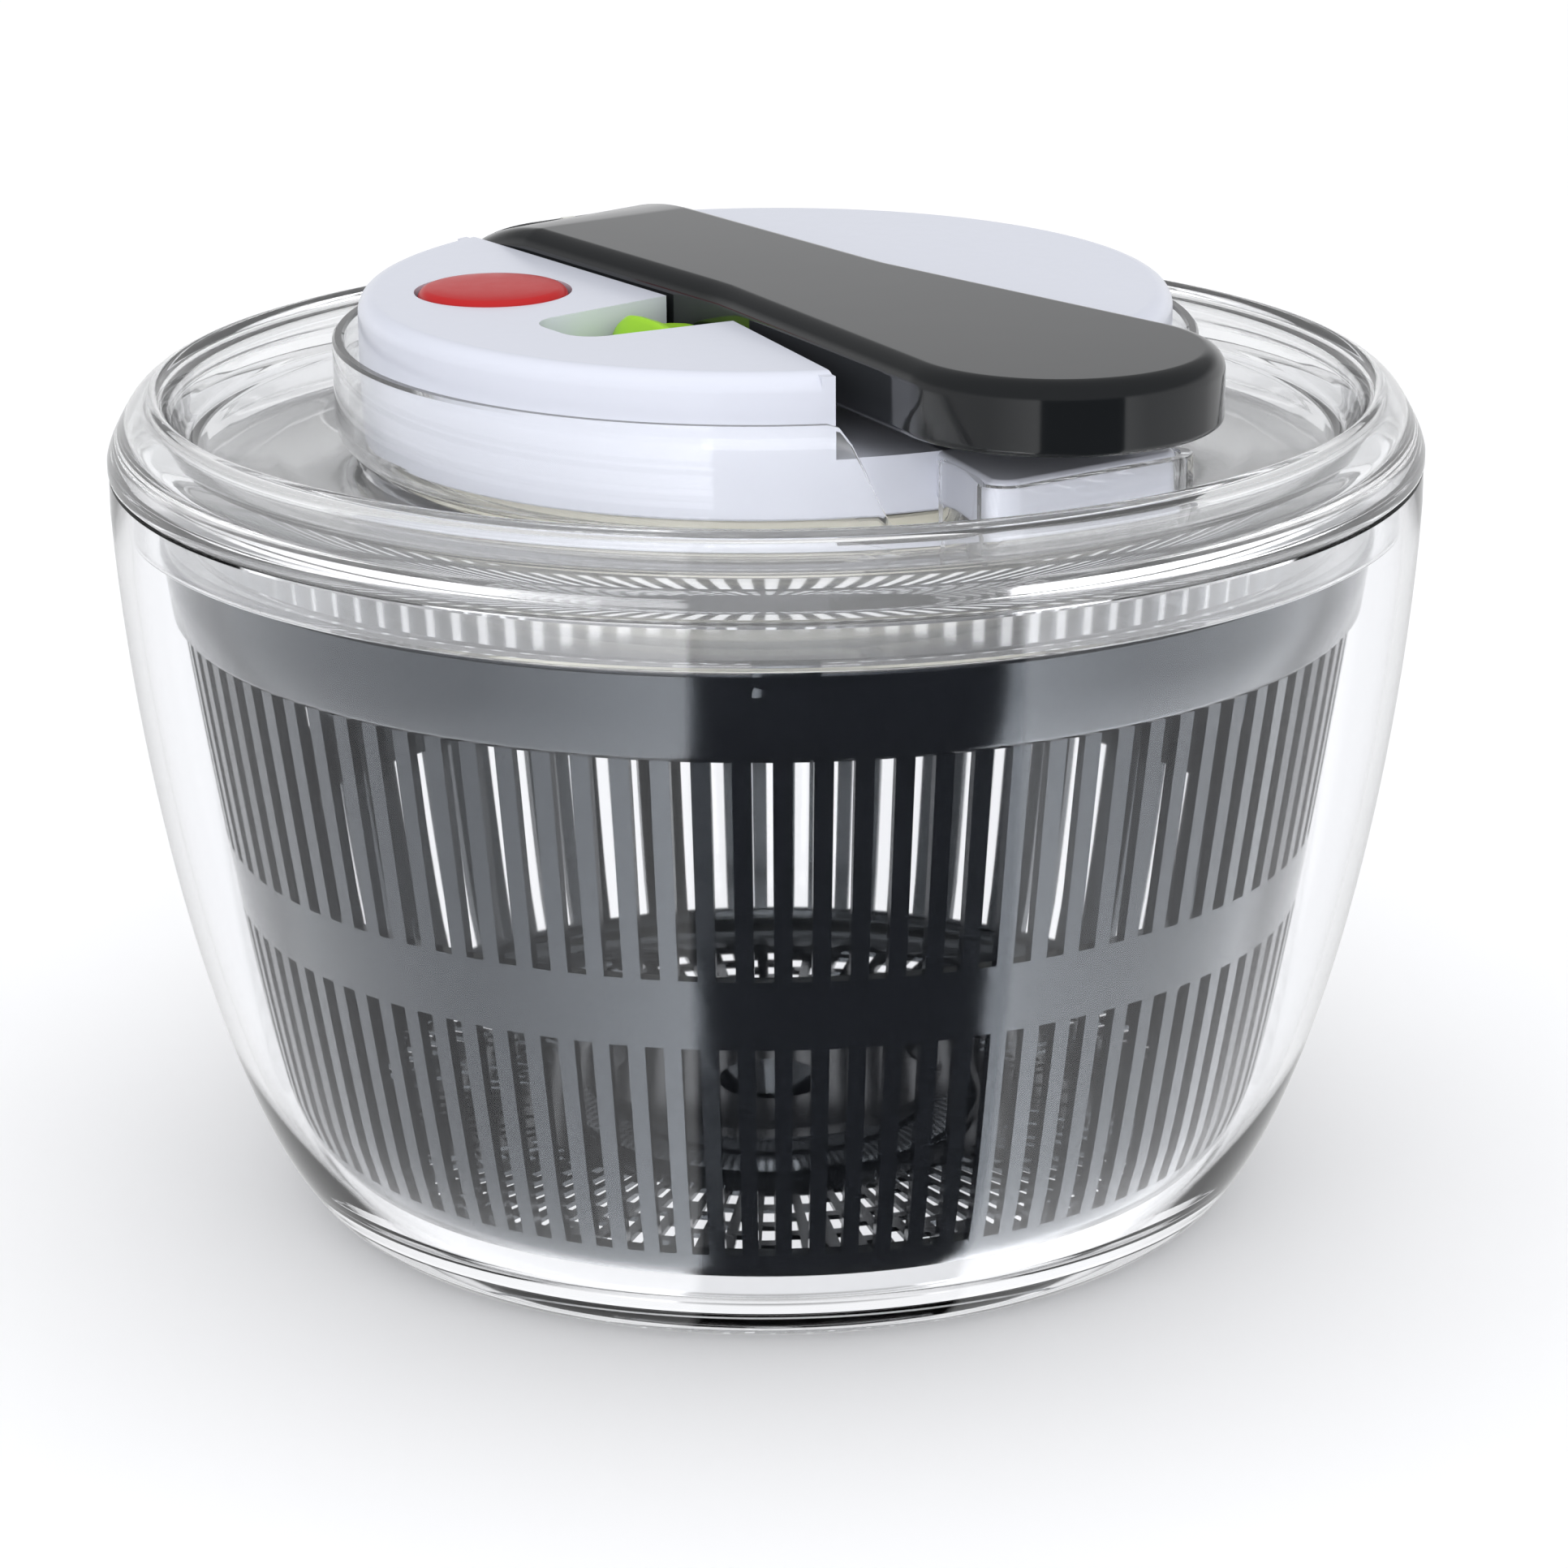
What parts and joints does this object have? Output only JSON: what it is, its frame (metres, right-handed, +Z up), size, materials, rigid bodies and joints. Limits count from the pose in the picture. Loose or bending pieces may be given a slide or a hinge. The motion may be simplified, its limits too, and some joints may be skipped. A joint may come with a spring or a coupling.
{
  "type": "salad spinner",
  "caption": "Salad spinner with a clear bowl, a slotted spinning basket and a clear lid whose press lever drives the basket through gears.",
  "frame": {"origin": "centre of the bowl's underside", "axes": "+Z up along the spin axis, +X from the lever's pivot towards its tip"},
  "size_m": [0.25, 0.25, 0.1813],
  "materials": {
    "clear_bowl": "clear, glossy",
    "clear_lid": "clear, glossy",
    "smoke_basket": "smoke grey, translucent",
    "white_cover": "white, glossy",
    "cream_base": "cream, satin",
    "black_lever": "black, glossy",
    "red_button": "red, satin",
    "green_lock": "lime green, satin",
    "nylon": "natural, satin",
    "steel": "bright steel",
    "bronze": "sintered bronze",
    "rubber": "matt black"
  },
  "bodies": {
    "bowl": {"bowl": "clear_bowl"},
    "basket": {"basket": "smoke_basket"},
    "lid": {"lid_shell": "clear_lid", "top_cover": "white_cover", "base_plate": "cream_base", "lever_pin": "steel", "gear_pin": "steel", "spindle_bush": "bronze", "return_spring": "steel", "button_spring": "steel", "base_screw_1": "steel", "base_screw_2": "steel", "base_screw_3": "steel", "base_screw_4": "steel"},
    "lever": {"lever": "black_lever", "lever_arm": "nylon"},
    "rack": {"drive_rack": "nylon"},
    "gear": {"compound_gear": "nylon"},
    "spindle": {"drive_spindle": "nylon", "clutch_pawl_1": "nylon", "clutch_pawl_2": "nylon", "spindle_washer": "steel", "spindle_screw": "steel"},
    "driver": {"driver_disc": "nylon", "ratchet_ring": "nylon", "basket_cover": "clear_lid"},
    "button": {"brake_button": "red_button", "button_clip": "steel", "brake_pad": "rubber"},
    "lock": {"lock_slider": "green_lock"}
  },
  "joints": [
    {"name": "basket_spin", "type": "hinge", "parent": "bowl", "child": "basket", "pos_m": [0, 0, 0], "axis": [0, 0, 1], "continuous": true},
    {"name": "lid_lift", "type": "slide", "parent": "bowl", "child": "lid", "axis": [0, 0, 1], "range_m": [0, 0.16]},
    {"name": "lever_press", "type": "hinge", "parent": "lid", "child": "lever", "pos_m": [-0.066, 0, 0.1713], "axis": [0, -1, 0], "range_deg": [0, 30]},
    {"name": "rack_slide", "type": "slide", "parent": "lid", "child": "rack", "axis": [1, 0, 0], "range_m": [0, 0.0095]},
    {"name": "gear_spin", "type": "hinge", "parent": "lid", "child": "gear", "pos_m": [-0.024, 0.01628, 0], "axis": [0, 0, 1], "range_deg": [0, 109]},
    {"name": "spindle_spin", "type": "hinge", "parent": "lid", "child": "spindle", "pos_m": [0, 0, 0], "axis": [0, 0, 1], "range_deg": [-523, 0]},
    {"name": "driver_spin", "type": "hinge", "parent": "lid", "child": "driver", "pos_m": [0, 0, 0], "axis": [0, 0, 1], "continuous": true},
    {"name": "brake_press", "type": "slide", "parent": "lid", "child": "button", "axis": [0, 0, -1], "range_m": [0, 0.003], "stiffness_N_per_m": 350, "springref_m": -0.001, "deforming": ["button_spring"]},
    {"name": "lock_slide", "type": "slide", "parent": "lid", "child": "lock", "axis": [0, -1, 0], "range_m": [0, 0.007]}
  ],
  "couplings": [
    {"joint": "rack_slide", "follows": "lever_press", "m_per_rad": 0.018144},
    {"joint": "gear_spin", "follows": "lever_press", "ratio": 3.6287},
    {"joint": "spindle_spin", "follows": "lever_press", "ratio": -17.418},
    {"joint": "driver_spin", "follows": "basket_spin", "ratio": 1}
  ]
}
